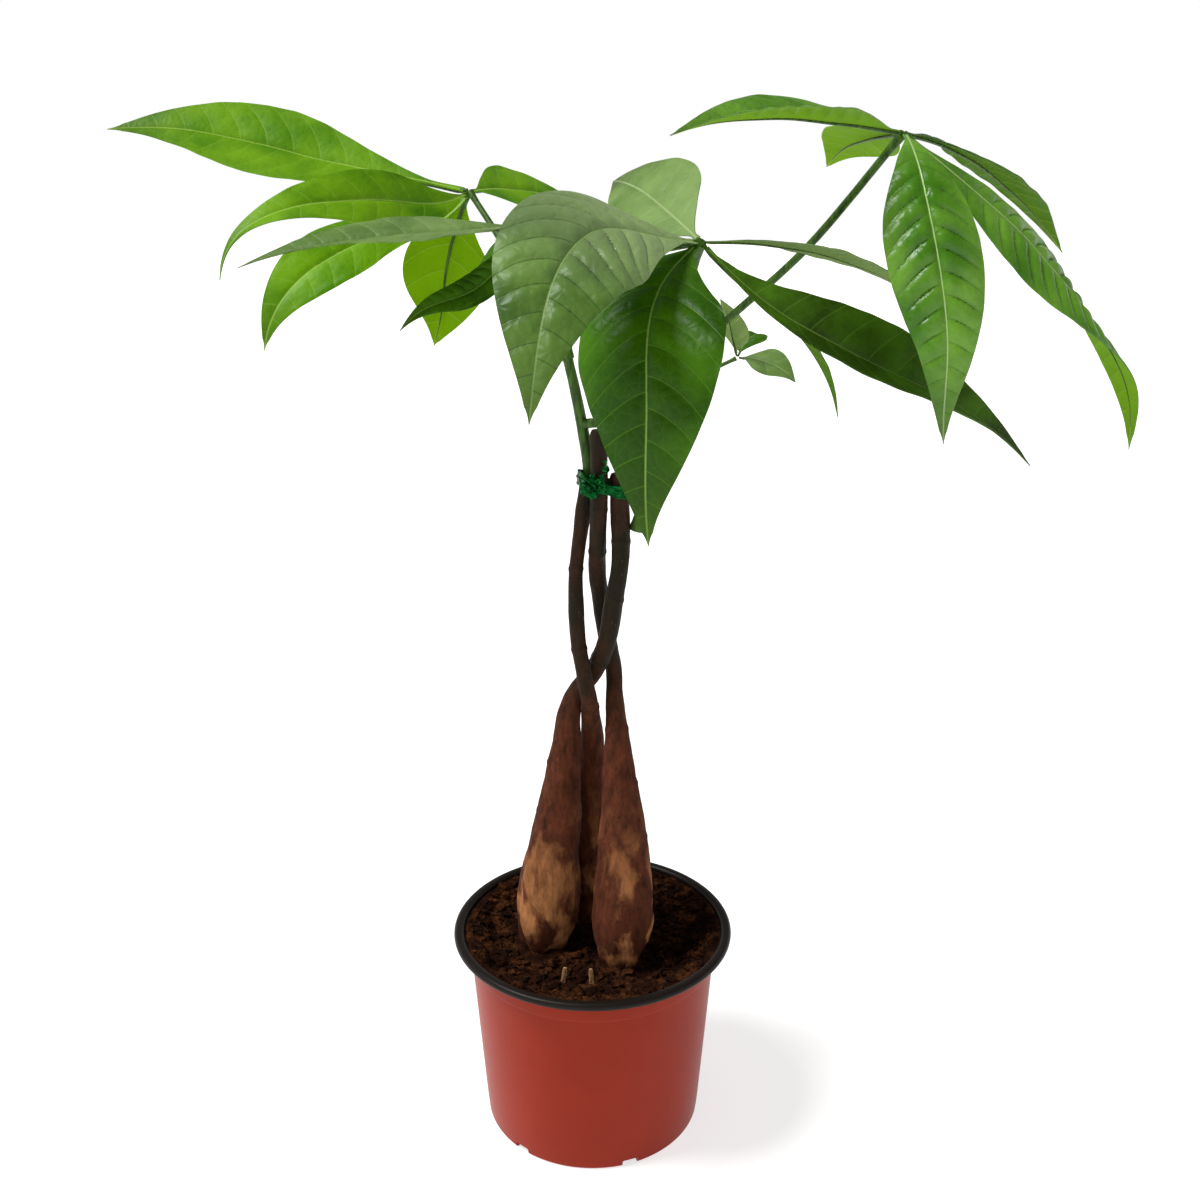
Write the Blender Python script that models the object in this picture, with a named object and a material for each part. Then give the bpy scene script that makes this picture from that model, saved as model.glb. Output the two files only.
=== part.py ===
"""Potted money tree: three braided trunks, tied together, in a nursery pot of moist soil.

Metres, +Z up. The origin is the middle of the pot's foot, on the surface that it stands on;
-Y is the side that faces the room. Heights in the plant's tables are millimetres above the soil.
"""

import math
from collections import namedtuple

import bmesh
import bpy
from mathutils import Matrix, Vector
from mathutils.geometry import convex_hull_2d

MM = 0.001
GAP = 0.3 * MM  # left between pieces that touch
MERGE = 1e-6  # points closer than this are one
SHARP = math.radians(40)  # edges at least this sharp stay sharp when shaded
CURVE_STEPS = 16  # short lines between two points of a smooth curve

# Pot: a thin moulded cup with a straight collar, a stacking step and a rolled lip.
POT_HEIGHT = 90 * MM
COLLAR_RADIUS = 53.4 * MM
LIP_REACH = 6.6 * MM  # how far the lip stands out of the collar
LIP_RADIUS = COLLAR_RADIUS + LIP_REACH
LIP_WIDTH = 4.4 * MM
LIP_DEPTH = 3.4 * MM
LIP_ROUND = 1.1 * MM
COLLAR_STEP = 0.7 * MM
COLLAR_FOOT = POT_HEIGHT - 13 * MM
FOOT_RADIUS = 47 * MM
FOOT_ROUND = 1.5 * MM
POT_WALL = 1.1 * MM
POT_FLOOR = 1.4 * MM
POT_SIDES = 48

# Drain slots through the edge of the floor and the foot of the wall.
SLOT_COUNT = 6
SLOT_WIDTH = 7 * MM
SLOT_HEIGHT = 3 * MM
SLOT_LENGTH = 12 * MM
SLOT_TURN = math.radians(20)

# Soil.
SOIL_BELOW_LIP = 9 * MM
SOIL_BANK = 4 * MM  # how much higher it lies against the wall
SOIL_BANK_FROM = 0.78  # where the bank starts, as a share of the soil's radius
SOIL_LEVEL = POT_HEIGHT - SOIL_BELOW_LIP

# Trunks: a swollen foot that narrows to a slim stem.
BULB_RADIUS = 14 * MM
BULB_HEIGHT = 120 * MM
STEM_RADIUS = 3.7 * MM
TRUNK_BURIED = 22 * MM
TRUNK_SIDES = 12
TRUNK_ROWS = 32
BULB_CURVE = 1.6  # how fast the swelling dies away
ROOT_SHARE = 0.55  # radius at the buried end, of the radius at the soil

# The braid. Each trunk has its girth, as a share of the braid's radius, the height in mm of its
# cut or grown-on end, and its place across and back at each level, in radii of the braid there,
# so that thicker trunks stand as much further apart. They stand side by side up to 90 mm; then
# the left one goes behind to the right, the back one comes forward and the right one goes back.
BRAID_LEVELS = (0, 45, 90, 105, 115, 125, 140, 155, 170, 185)
TRUNKS = {
    "trunk_left": (0.99, 208, [
        (-1.5, 0), (-1.4, 0), (-1.7, 0.3), (-2, 0.7), (-1.5, 1.3), (0.1, 0.4), (1.6, -1),
        (2.3, -1.1), (2.9, -0.9), (3, -0.6), (2.9, -0.3)]),
    "trunk_right": (0.93, 225, [
        (0.9, -0.9), (1.1, -0.95), (1.7, -0.7), (2.1, 0), (2.4, 0.5), (2.4, 1.3), (1.6, 1.4),
        (0.9, 1.4), (0.6, 0.9), (0.7, -0.4), (0.8, -0.8)]),
    "trunk_back": (0.8, 206, [
        (-0.1, 1.5), (-0.1, 1.5), (0, 1.7), (-0.1, 0.9), (-0.3, -0.8), (-0.8, -1.6),
        (-1.5, -1.2), (-1.7, -0.5), (-1.7, 0.2), (-1.2, 0.9), (-0.3, 1.2)]),
}

# The tie: a flat strip round the three stems.
TIE_LEVEL = 203 * MM
TIE_WIDTH = 5 * MM
TIE_THICK = 0.9 * MM
TIE_CLEARANCE = 0.7 * MM
TIE_SIDES = 16  # points of the circle that it follows round each stem

# Green shoots, and the stalk of each leaf: what it grows on, radius at the base and at the tip,
# then a route in mm across and back from there and above the soil. A stalk's route goes on to its
# leaf's hub. FEET are across and back in radii of the stems, so limbs move with what bears them.
FEET = {"back_top": (-0.3, 1.2), "right_top": (0.8, -0.8), "shoulder": (3.9, -0.7)}
SHOOTS = {
    "shoot_left": ("back_top", 2.5, 1.9, [
        (0.1, 0.1, 207.5), (-0.9, -1.4, 216), (-4.4, -3.9, 236), (-7.9, -4.4, 252)]),
    "shoot_right": ("shoulder", 2.7, 2.0, [
        (3.6, 0.1, 188), (5.6, -0.4, 195), (6.6, -0.9, 205), (6.1, -1.4, 241)]),
}
STALKS = {
    "front": ("right_top", 1.5, 1.3, [
        (-3.5, 1.5, 227.5), (3, -6, 230), (16, -35, 246), (26, -69, 277)]),
    "right": ("shoulder", 1.5, 1.2, [
        (7.6, -3.4, 243), (19.6, -11.4, 254), (35.6, -23.4, 270), (57.6, -45.4, 294)]),
    "young": ("shoulder", 0.9, 0.7, [(9.1, -0.4, 235), (19.6, 1.6, 242)]),
    "left": ("back_top", 1.4, 1.2, [(-9.9, -2.9, 253.5), (-15.9, 0.6, 261), (-30.9, 23.6, 288)]),
    "low": ("back_top", 1.4, 1.2, [(-7.4, -5.9, 254.5), (-8.4, -5.4, 262), (-12.9, -1.4, 280)]),
}
STALK_SIDES = 8
LIMB_ROWS = 14
HUB_RADIUS = 2.4 * MM  # leaflets and the stalk end this far from the middle of a leaf's hub

# Leaflets: outline, as shares of length and of half the width.
LEAFLET_THICK = 0.8 * MM
LEAFLET_OUTLINE = [(0, 0.06), (0.05, 0.07), (0.18, 0.45), (0.34, 0.9), (0.48, 1.0),
                   (0.62, 0.86), (0.76, 0.55), (0.88, 0.25), (0.95, 0.1), (1, 0.04)]
LEAFLET_ROWS = 10
LEAFLET_COLUMNS = 4
MIDRIB_STEPS = 80  # short lines that a midrib is summed from

# Leaves: the hub in mm across, back and above the soil, then its leaflets. A leaflet's midrib is
# as long as length, from the hub's middle. Its headings (seen from above: 0 to the right, 90 to
# the back) and its slopes (90 straight up, below -90 curling back under) are evenly spaced from
# stalk to tip, like the turns of the blade about it. rise lifts the two halves into a fold, droop
# bends them down across, and fullest is above 1 where the blade is widest nearer its tip.
# Lengths are in mm and angles in degrees.
Leaflet = namedtuple("Leaflet", "width length headings slopes turns rise droop fullest",
                     defaults=[1.0])
LEAVES = {
    "front": ((33, -95, 297), [
        Leaflet(40, 112, (-138, -127, -112, -104), (4, 9, -24, -58, -70),
                (-30, -35, -25, -20), 5, 4),
        Leaflet(44, 104, (-131, -106, -88, -130), (-25, -34, -70, -90, -100), (-20, 0, 0), 4, 4,
                0.92),
        Leaflet(27, 128, (-15, -5, 10, 20), (-45, -27, -27, -42), (32, 32, 20), 24, 0),
        Leaflet(16, 97, (35, 30, 25), (0, -12, -30), (-5, -5), 8, 1),
        Leaflet(18, 83, (30, 35, 20), (-38, -35, -75), (30, 20), 14, 1),
        Leaflet(34, 84, (112, 108, 104), (20, 14, 0), (-45, -45), 6, 3),
        Leaflet(24, 85, (148, 128, 124), (-10, -10, -22), (-15, -15), 6, 3),
    ]),
    "right": ((94, -80, 328), [
        Leaflet(25, 88, (-145, -145, -150), (6, 3, -4, -18), (-10, -10), 24, 1),
        Leaflet(24, 60, (105, 100), (0, -5, -25), (20, 20), 6, 2),
        Leaflet(28, 105, (-92, -76, -56, -140), (-15, -50, -70, -84, -100), (0, 0), -4, 2),
        Leaflet(28, 137, (5, 12, 15), (-35, -36, -44, -55, -90), (50, 45, 35, 0, -50), -10, 1),
        Leaflet(26, 105, (45, 35), (-4, -21, -40), (20, 10), 8, 2),
    ]),
    "left": ((-49, 50, 312), [
        Leaflet(42, 146, (172, 179, 188), (12, 11, 14, 8, -5), (-40, -38, -35), 10, 1, 1.35),
        Leaflet(26, 121, (-135, -140, -155), (-22, 4, 0, -8, -30, -80), (-60, -55, -30, 0), 8, 1,
                0.8),
        Leaflet(26, 112, (-160, -145, -150), (-50, -10, -20, -42, -78), (-50, -50), 6, 1, 1.4),
        Leaflet(38, 66, (136, 160, 200), (-56, -70, -82, -70), (58, 58), 4, 1, 1.15),
        Leaflet(30, 74, (62, 50, 30), (5, -5, -22), (38, 35), 6, 1),
    ]),
    "low": ((-25, 10, 300), [
        Leaflet(26, 107, (-142, -165, -168, -172), (-5, -3, -8, -20), (-20, -10), 14, 1),
        Leaflet(13, 65, (-130, -155, -170), (-50, -42, -15, -50), (-40, -30), 8, 1),
        Leaflet(20, 42, (150, 150, 180), (-36, -45, -72), (-40, -40), 6, 1),
        Leaflet(24, 66, (50, 40, 30), (8, -5, -35), (0, 0), 6, 2),
    ]),
    "young": ((55, 0, 252), [
        Leaflet(18, 25, (-115, -130, -180), (60, 65, 60), (-30, -30), 8, 1),
        Leaflet(18, 26, (-40, -20, -10), (5, -20, -50), (20, 20), 8, 1),
        Leaflet(14, 26, (65, 45), (35, 15, -35), (0, 0), 8, 1),
    ]),
}
LEAF_COLOURS = {
    "front": (0.06, 0.17, 0.03),
    "right": (0.05, 0.18, 0.02),
    "left": (0.11, 0.27, 0.01),
    "low": (0.1, 0.22, 0.04),
    "young": (0.06, 0.16, 0.03),
}

# Chips of pale root that stand in the soil: middle, across and back in mm; then how they lean.
ROOT_CHIPS = {"root_chip_left": ((-11.5, -30), 8), "root_chip_right": ((-0.5, -31), -6)}
CHIP_WIDTH = 3.2 * MM
CHIP_THICK = 1.6 * MM
CHIP_LENGTH = 11 * MM
CHIP_SHOWS = 6.5 * MM
CHIP_SIDES = 6
CHIP_TAPER = 0.56  # width of its upper end, of the width of its lower end


def clear_scene():
    for old in list(bpy.data.objects):
        bpy.data.objects.remove(old, do_unlink=True)


def finish(name, colour, roughness, metallic=0.0):
    """The material of one sub-part."""
    material = bpy.data.materials.new(name)
    material.use_nodes = True
    shader = material.node_tree.nodes["Principled BSDF"]
    shader.inputs["Base Color"].default_value = (*colour, 1)
    shader.inputs["Roughness"].default_value = roughness
    shader.inputs["Metallic"].default_value = metallic
    return material


def add_object(name, data, material):
    thing = bpy.data.objects.new(name, data)
    thing.data.materials.append(material)
    bpy.context.scene.collection.objects.link(thing)
    return thing


def mesh_from(bm, name):
    mesh = bpy.data.meshes.new(name)
    bm.to_mesh(mesh)
    bm.free()
    mesh.shade_smooth()
    mesh.set_sharp_from_angle(angle=SHARP)
    return mesh


def smooth_path(points, count):
    """count points, evenly spaced, on a smooth curve through the given ones."""
    ends = [2 * points[0] - points[1], *points, 2 * points[-1] - points[-2]]
    fine = []
    for a, b, c, d in zip(ends, ends[1:], ends[2:], ends[3:]):
        for i in range(CURVE_STEPS):
            t = i / CURVE_STEPS
            fine.append(
                0.5 * (2 * b + (c - a) * t + (2 * a - 5 * b + 4 * c - d) * t**2
                       + (3 * b - a - 3 * c + d) * t**3)
            )
    fine.append(points[-1])
    return evenly(fine, count)


def evenly(fine, count):
    """count points at equal lengths along a line of close points."""
    lengths = [0.0]
    for a, b in zip(fine, fine[1:]):
        lengths.append(lengths[-1] + (b - a).length)
    path = []
    k = 0
    for i in range(count):
        wanted = lengths[-1] * i / (count - 1)
        while k < len(fine) - 2 and lengths[k + 1] < wanted:
            k += 1
        share = (wanted - lengths[k]) / max(lengths[k + 1] - lengths[k], 1e-9)
        path.append(fine[k].lerp(fine[k + 1], share))
    return path


def read_outline(outline, x):
    """The outline's value at x, by a smooth curve between its rows."""
    for k in range(len(outline) - 1):
        (x0, y0), (x1, y1) = outline[k], outline[k + 1]
        if x <= x1:
            break
    before = outline[k - 1] if k else (2 * x0 - x1, y0)
    after = outline[k + 2] if k + 2 < len(outline) else (2 * x1 - x0, y1)
    slope0 = (y1 - before[1]) / (x1 - before[0]) * (x1 - x0)
    slope1 = (after[1] - y0) / (after[0] - x0) * (x1 - x0)
    t = (x - x0) / (x1 - x0)
    return ((2 * t**3 - 3 * t**2 + 1) * y0 + (t**3 - 2 * t**2 + t) * slope0
            + (3 * t**2 - 2 * t**3) * y1 + (t**3 - t**2) * slope1)


def above_soil(place):
    """A place given in mm across, back and above the soil, in the part's frame."""
    return Vector(place) * MM + Vector((0, 0, SOIL_LEVEL))


def tube(name, path, radii, sides, material):
    """A round limb along a path, with closed ends."""
    curve = bpy.data.curves.new(name, "CURVE")
    curve.dimensions = "3D"
    curve.bevel_depth = MM
    curve.bevel_resolution = sides // 2 - 2
    curve.use_fill_caps = True
    spline = curve.splines.new("POLY")
    spline.points.add(len(path) - 1)
    for point, place, radius in zip(spline.points, path, radii):
        point.co = (*place, 1)
        point.radius = radius / MM
    return add_object(name, curve, material)


def turned(name, profile, sides, material):
    """A body of revolution about Z, from a profile that starts and ends on the axis."""
    bm = bmesh.new()
    verts = [bm.verts.new((radius, 0, height)) for radius, height in profile]
    edges = [bm.edges.new(pair) for pair in zip(verts, verts[1:])]
    bmesh.ops.spin(bm, geom=verts + edges, cent=(0, 0, 0), axis=(0, 0, 1), angle=math.tau,
                   steps=sides, use_merge=True)
    bmesh.ops.remove_doubles(bm, verts=bm.verts, dist=MERGE)
    bmesh.ops.recalc_face_normals(bm, faces=bm.faces)
    return add_object(name, mesh_from(bm, name), material)


def cut(body, cutter):
    """Cuts one body with another, which isn't a piece of the object."""
    cutter.hide_render = True
    cutter.display_type = "WIRE"
    modifier = body.modifiers.new(cutter.name, "BOOLEAN")
    modifier.operation = "DIFFERENCE"
    modifier.solver = "EXACT"
    modifier.object = cutter


def body_radius(height):
    """The pot's outer radius between its foot and the stacking step."""
    top = COLLAR_RADIUS - COLLAR_STEP
    share = min(height / COLLAR_FOOT, 1)
    return FOOT_RADIUS + (top - FOOT_RADIUS) * share


def pot():
    lip_foot = POT_HEIGHT - LIP_DEPTH
    lip_inside = LIP_RADIUS - LIP_WIDTH
    collar_inside = COLLAR_RADIUS - POT_WALL
    profile = [
        (0, 0),
        (FOOT_RADIUS - FOOT_ROUND, 0),
        (body_radius(FOOT_ROUND), FOOT_ROUND),
        (body_radius(COLLAR_FOOT), COLLAR_FOOT),
        (COLLAR_RADIUS, COLLAR_FOOT + COLLAR_STEP),
        (COLLAR_RADIUS, lip_foot),
        (LIP_RADIUS - LIP_ROUND, lip_foot),
        (LIP_RADIUS, lip_foot + LIP_ROUND),
        (LIP_RADIUS, POT_HEIGHT - LIP_ROUND),
        (LIP_RADIUS - LIP_ROUND, POT_HEIGHT),
        (lip_inside + LIP_ROUND, POT_HEIGHT),
        (lip_inside, POT_HEIGHT - LIP_ROUND),
        (collar_inside, lip_foot),
        (collar_inside, COLLAR_FOOT + COLLAR_STEP),
        (body_radius(COLLAR_FOOT) - POT_WALL, COLLAR_FOOT),
        (body_radius(POT_FLOOR) - POT_WALL, POT_FLOOR),
        (0, POT_FLOOR),
    ]
    plastic = finish("red_polypropylene", (0.42, 0.055, 0.03), 0.45)
    body = turned("pot", profile, POT_SIDES, plastic)
    cut(body, slot_cutter())


def slot_cutter():
    """One box for each drain slot, from inside the foot's edge to outside it."""
    bm = bmesh.new()
    for k in range(SLOT_COUNT):
        turn = Matrix.Rotation(SLOT_TURN + math.tau * k / SLOT_COUNT, 4, "Z")
        place = Matrix.Translation((0, -FOOT_RADIUS, 0))
        size = Matrix.Diagonal((SLOT_WIDTH, SLOT_LENGTH, 2 * SLOT_HEIGHT, 1))
        bmesh.ops.create_cube(bm, size=1, matrix=turn @ place @ size)
    return add_object("slot_cutter", mesh_from(bm, "slot_cutter"), finish("cutter", (1, 1, 1), 1))


def soil(buried):
    """The root ball: it fills the pot to below the lip, with a socket for each buried piece."""
    bottom = POT_FLOOR + GAP
    top = SOIL_LEVEL + SOIL_BANK
    edge = body_radius(COLLAR_FOOT) - POT_WALL - GAP
    profile = [
        (0, bottom),
        (body_radius(bottom) - POT_WALL - GAP, bottom),
        (edge, COLLAR_FOOT),
        (edge, top),
        (edge * SOIL_BANK_FROM, SOIL_LEVEL),
        (0, SOIL_LEVEL),
    ]
    peat = finish("moist_peat", (0.03, 0.016, 0.01), 0.95)
    body = turned("soil", profile, POT_SIDES, peat)
    for cutter in buried:
        cut(body, cutter)


def braid_radius(height):
    """The radius of a full-size trunk at a height above the soil: a bulb, then a slim stem."""
    if height < 0:
        return BULB_RADIUS * (1 + (1 - ROOT_SHARE) * height / TRUNK_BURIED)
    swelling = max(0, 1 - (height / BULB_HEIGHT) ** 2) ** BULB_CURVE
    return STEM_RADIUS + (BULB_RADIUS - STEM_RADIUS) * swelling


def trunk_path(top, places):
    """The middle line of a trunk, from its buried end up."""
    points = []
    for height, (across, back) in zip((*BRAID_LEVELS, top), places):
        radius = braid_radius(height * MM)
        points.append(Vector((across * radius, back * radius, SOIL_LEVEL + height * MM)))
    foot = points[0] - Vector((0, 0, TRUNK_BURIED))
    return smooth_path([foot, *points], TRUNK_ROWS)


def trunk(name, girth, top, places, material):
    """A trunk, and the larger body that its socket in the soil is cut with."""
    path = trunk_path(top, places)
    radii = [girth * braid_radius(place.z - SOIL_LEVEL) for place in path]
    tube(name, path, radii, TRUNK_SIDES, material)
    lower = [path[0] - Vector((0, 0, GAP)), *path[1:]]
    wider = [radius + GAP for radius in radii]
    socket = tube(name + "_socket", lower, wider, TRUNK_SIDES, material)
    return mesh_cutter(socket)


def mesh_cutter(thing):
    """Turns a curve object into a closed mesh object that can cut."""
    scene_state = bpy.context.evaluated_depsgraph_get()
    bm = bmesh.new()
    bm.from_mesh(thing.evaluated_get(scene_state).to_mesh())
    bmesh.ops.remove_doubles(bm, verts=bm.verts, dist=MERGE)
    bmesh.ops.recalc_face_normals(bm, faces=bm.faces)
    material = thing.data.materials[0]
    name = thing.name
    bpy.data.objects.remove(thing, do_unlink=True)
    return add_object(name, mesh_from(bm, name), material)


def root_chip(name, place, lean, material):
    """A chip of root that stands in the soil, and the larger body that cuts its socket."""
    turn = Matrix.Rotation(math.radians(lean), 4, "Y")
    middle = Vector((place[0] * MM, place[1] * MM, SOIL_LEVEL + CHIP_SHOWS - CHIP_LENGTH / 2))
    pieces = []
    for label, grow in ((name, 0), (name + "_socket", 2 * GAP)):
        bm = bmesh.new()
        sizes = (CHIP_WIDTH + grow, CHIP_THICK + grow, CHIP_LENGTH + grow)
        shape = Matrix.Translation(middle) @ turn @ Matrix.Diagonal((*sizes, 1))
        bmesh.ops.create_cone(bm, cap_ends=True, segments=CHIP_SIDES, radius1=0.5,
                              radius2=CHIP_TAPER / 2, depth=1, matrix=shape)
        pieces.append(add_object(label, mesh_from(bm, label), material))
    return pieces[1]


def stem_at(path, level):
    """The middle of a trunk at a height in the part's frame."""
    for below, above in zip(path, path[1:]):
        if above.z >= level:
            return below.lerp(above, (level - below.z) / (above.z - below.z))
    return path[-1]


def tie():
    """A flat strip that goes once round the stems, like a belt round three pulleys."""
    level = SOIL_LEVEL + TIE_LEVEL
    touching = []
    for girth, top, places in TRUNKS.values():
        middle = stem_at(trunk_path(top, places), level)
        radius = girth * STEM_RADIUS + TIE_CLEARANCE
        for k in range(TIE_SIDES):
            angle = math.tau * k / TIE_SIDES
            touching.append((middle.x + radius * math.cos(angle),
                             middle.y + radius * math.sin(angle)))
    bm = bmesh.new()
    ring = [bm.verts.new((*touching[k], level - TIE_WIDTH / 2))
            for k in convex_hull_2d(touching)]
    edges = [bm.edges.new(pair) for pair in zip(ring, ring[1:] + ring[:1])]
    raised = bmesh.ops.extrude_edge_only(bm, edges=edges)["geom"]
    bmesh.ops.translate(bm, verts=[v for v in raised if isinstance(v, bmesh.types.BMVert)],
                        vec=(0, 0, TIE_WIDTH))
    bmesh.ops.recalc_face_normals(bm, faces=bm.faces)
    middle = sum((v.co for v in ring), Vector()) / len(ring)
    face = bm.faces[:][0]
    if face.normal.dot(face.calc_center_median() - middle) < 0:
        bmesh.ops.reverse_faces(bm, faces=bm.faces)
    strip = add_object("twist_tie", mesh_from(bm, "twist_tie"),
                       finish("green_foil", (0.0, 0.25, 0.07), 0.25, 0.6))
    wall = strip.modifiers.new("strip", "SOLIDIFY")
    wall.thickness = TIE_THICK
    wall.offset = 1


def spaced(values):
    """Values evenly spaced from 0 to 1, as rows that read_outline reads."""
    return [(k / (len(values) - 1), value) for k, value in enumerate(values)]


def midrib(shape, count):
    """The middle line of a leaflet from its hub, which it leaves HUB_RADIUS away."""
    headings, slopes = spaced(shape.headings), spaced(shape.slopes)
    step = (shape.length * MM - HUB_RADIUS) / MIDRIB_STEPS
    place = Vector()
    fine = []
    for k in range(MIDRIB_STEPS + 1):
        share = k / MIDRIB_STEPS
        heading = math.radians(read_outline(headings, share))
        slope = math.radians(read_outline(slopes, share))
        line = Vector((math.cos(slope) * math.cos(heading), math.cos(slope) * math.sin(heading),
                       math.sin(slope)))
        place = place + line * (step if k else HUB_RADIUS)
        fine.append(place)
    return evenly(fine, count)


def leaflet(name, hub, shape, material):
    """A thin blade along its midrib: a grid bent to the midrib's line, then thickened."""
    path = midrib(shape, LEAFLET_ROWS + 1)
    frames = blade_frames(path, shape.turns)
    lift = math.radians(shape.rise)
    bm = bmesh.new()
    bmesh.ops.create_grid(bm, x_segments=LEAFLET_COLUMNS, y_segments=LEAFLET_ROWS, size=1)
    for vert in bm.verts:
        along = round((vert.co.y + 1) / 2 * LEAFLET_ROWS)
        share = read_outline(LEAFLET_OUTLINE, (along / LEAFLET_ROWS) ** shape.fullest)
        side, up = frames[along]
        out = vert.co.x * share * shape.width / 2 * MM
        sag = shape.droop * MM * (vert.co.x * share) ** 2
        vert.co = (hub + path[along] + side * out * math.cos(lift)
                   + up * (abs(out) * math.sin(lift) - sag))
    thing = add_object(name, mesh_from(bm, name), material)
    blade = thing.modifiers.new("blade", "SOLIDIFY")
    blade.thickness = LEAFLET_THICK
    blade.offset = 0


def blade_frames(path, turns):
    """Across and up at each point of a midrib, carried along it and turned about it."""
    last = len(path) - 1
    turn_rows = spaced(turns)
    frames = []
    side = None
    for k, place in enumerate(path):
        line = (path[min(k + 1, last)] - path[max(k - 1, 0)]).normalized()
        if side is None:
            side = line.cross(Vector((0, 0, 1)))
        side = (side - line * side.dot(line)).normalized()
        turn = math.radians(read_outline(turn_rows, k / last))
        turned_side = Matrix.Rotation(turn, 3, line) @ side
        frames.append((turned_side, turned_side.cross(line)))
    return frames


def route_from(foot, route):
    """A limb's points, from the place that it grows on."""
    across, back = FEET[foot]
    shift = Vector((across, back, 0)) * STEM_RADIUS
    return [above_soil(place) + shift for place in route]


def limb(name, radius_base, radius_tip, points, material):
    """A green shoot or stalk that tapers along a smooth curve."""
    path = smooth_path(points, LIMB_ROWS)
    last = LIMB_ROWS - 1
    radii = [(radius_base + (radius_tip - radius_base) * k / last) * MM for k in range(LIMB_ROWS)]
    tube(name, path, radii, STALK_SIDES, material)


def plant():
    """The trunks, shoots, stalks and leaflets. Returns what cuts the soil."""
    bark = finish("bark", (0.11, 0.055, 0.035), 0.85)
    green = finish("green_stem", (0.07, 0.14, 0.02), 0.5)
    buried = [trunk(name, *row, bark) for name, row in TRUNKS.items()]
    for name, (foot, radius_base, radius_tip, route) in SHOOTS.items():
        limb(name, radius_base, radius_tip, route_from(foot, route), green)
    for leaf, (foot, radius_base, radius_tip, route) in STALKS.items():
        hub = above_soil(LEAVES[leaf][0])
        points = route_from(foot, route)
        points.append(hub + (points[-1] - hub).normalized() * HUB_RADIUS)
        limb("stalk_" + leaf, radius_base, radius_tip, points, green)
    for leaf, (hub, leaflets) in LEAVES.items():
        blade = finish("leaf_" + leaf, LEAF_COLOURS[leaf], 0.4)
        for number, shape in enumerate(leaflets, 1):
            leaflet(f"leaflet_{leaf}_{number}", above_soil(hub), shape, blade)
    return buried


def main():
    clear_scene()
    pot()
    buried = plant()
    tie()
    root = finish("root_wood", (0.45, 0.25, 0.12), 0.8)
    buried += [root_chip(name, place, lean, root)
               for name, (place, lean) in ROOT_CHIPS.items()]
    soil(buried)


main()
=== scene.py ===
"""Potted money tree: the looks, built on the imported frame.

Metres, +Z up. The pot stands on the floor at the origin, and -Y faces the room. Each leaflet,
stem, trunk and the soil is remade finer than its frame node, on the same lines.
"""

import math
import random
from collections import namedtuple

import bmesh
import bpy
from mathutils import Matrix, Vector, noise
from mathutils.geometry import convex_hull_2d


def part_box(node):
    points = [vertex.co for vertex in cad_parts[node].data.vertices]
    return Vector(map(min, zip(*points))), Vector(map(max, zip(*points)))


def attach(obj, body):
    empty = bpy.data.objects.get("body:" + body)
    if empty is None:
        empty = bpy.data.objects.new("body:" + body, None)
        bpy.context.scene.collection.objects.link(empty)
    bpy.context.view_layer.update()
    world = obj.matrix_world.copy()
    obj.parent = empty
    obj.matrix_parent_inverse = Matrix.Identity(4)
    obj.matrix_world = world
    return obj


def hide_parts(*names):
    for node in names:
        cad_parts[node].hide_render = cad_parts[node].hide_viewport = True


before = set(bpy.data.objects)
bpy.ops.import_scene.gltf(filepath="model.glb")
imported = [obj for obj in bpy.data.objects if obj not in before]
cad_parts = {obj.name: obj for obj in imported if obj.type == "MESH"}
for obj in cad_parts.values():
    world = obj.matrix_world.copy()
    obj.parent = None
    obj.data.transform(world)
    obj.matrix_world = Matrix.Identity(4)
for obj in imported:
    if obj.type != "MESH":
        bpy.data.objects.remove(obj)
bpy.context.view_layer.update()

MM = 0.001
MERGE = 1e-6

# Pot and soil, from the frame.
POT_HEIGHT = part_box("pot")[1].z
LIP_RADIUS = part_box("pot")[1].x
SOIL_BELOW_LIP = 9 * MM
SOIL_LEVEL = POT_HEIGHT - SOIL_BELOW_LIP
LIP_WIDTH = 4.4 * MM
LIP_DEPTH = 3.4 * MM
LEDGE = 0.8 * MM  # thickness of the wall where it steps out to the lip
COLLAR_RADIUS = 53.4 * MM
COLLAR_STEP = 0.7 * MM
COLLAR_FOOT = POT_HEIGHT - 13 * MM
FOOT_RADIUS = 47 * MM
FOOT_ROUND = 1.5 * MM
POT_WALL = 1.1 * MM
POT_FLOOR = 1.4 * MM
POT_SIDES = 160
SOIL_EDGE = LIP_RADIUS - LIP_WIDTH - 0.1 * MM
BANK_FROM = 40 * MM
BANK_HEIGHT = 6.7 * MM
SLOT_COUNT = 6
SLOT_SIZE = (7 * MM, 12 * MM, 6 * MM)
SLOT_TURN = math.radians(20)

# Trunks.
BULB_RADIUS = 14 * MM
BULB_HEIGHT = 120 * MM
BULB_CURVE = 1.6
STEM_RADIUS = 3.7 * MM
PINCH = 0.32  # how much a bulb narrows where it meets the soil
PINCH_HEIGHT = 20 * MM
TRUNK_BURIED = 22 * MM
TRUNK_ROWS = 300
TRUNK_AROUND = 56
BRAID_LEVELS = (0, 45, 90, 105, 115, 125, 140, 155, 170, 185)
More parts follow.
